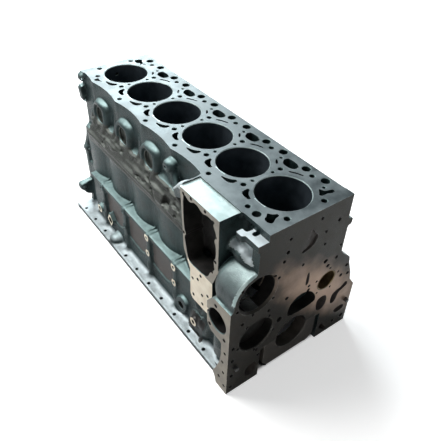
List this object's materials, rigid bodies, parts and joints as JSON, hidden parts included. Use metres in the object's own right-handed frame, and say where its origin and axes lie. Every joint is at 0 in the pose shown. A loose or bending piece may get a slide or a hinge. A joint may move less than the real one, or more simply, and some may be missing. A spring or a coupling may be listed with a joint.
{
  "type": "engine block",
  "caption": "Inline engine cylinder block with bored cylinders, ported deck, crankcase with bolted main bearing caps, side oil cooler housing and front pump bores.",
  "frame": {"origin": "on the crankshaft axis at the middle main bearing", "axes": "+X along the crankshaft to the pump end, -Y to the oil cooler side, +Z to the head face"},
  "size_m": [0.77, 0.353, 0.411],
  "materials": {
    "cast_block": "as cast, machined faces bright",
    "main_cap": "machined",
    "bolt_steel": "phosphated",
    "plug_steel": "pressed sheet",
    "dowel_steel": "ground",
    "bush_bronze": "bored"
  },
  "bodies": {
    "root": {"cylinder_block": "cast_block", "main_bearing_cap_1": "main_cap", "main_cap_bolt_1_cooler_side": "bolt_steel", "main_cap_bolt_1_pushrod_side": "bolt_steel", "main_bearing_cap_2": "main_cap", "main_cap_bolt_2_cooler_side": "bolt_steel", "main_cap_bolt_2_pushrod_side": "bolt_steel", "main_bearing_cap_3": "main_cap", "main_cap_bolt_3_cooler_side": "bolt_steel", "main_cap_bolt_3_pushrod_side": "bolt_steel", "main_bearing_cap_4": "main_cap", "main_cap_bolt_4_cooler_side": "bolt_steel", "main_cap_bolt_4_pushrod_side": "bolt_steel", "main_bearing_cap_5": "main_cap", "main_cap_bolt_5_cooler_side": "bolt_steel", "main_cap_bolt_5_pushrod_side": "bolt_steel", "main_bearing_cap_6": "main_cap", "main_cap_bolt_6_cooler_side": "bolt_steel", "main_cap_bolt_6_pushrod_side": "bolt_steel", "main_bearing_cap_7": "main_cap", "main_cap_bolt_7_cooler_side": "bolt_steel", "main_cap_bolt_7_pushrod_side": "bolt_steel", "core_plug_1": "plug_steel", "core_plug_2": "plug_steel", "core_plug_3": "plug_steel", "front_dowel_1": "dowel_steel", "front_dowel_2": "dowel_steel", "rear_dowel_1": "dowel_steel", "rear_dowel_2": "dowel_steel", "camshaft_bush": "bush_bronze", "camshaft_rear_plug": "plug_steel"}
  },
  "joints": []
}
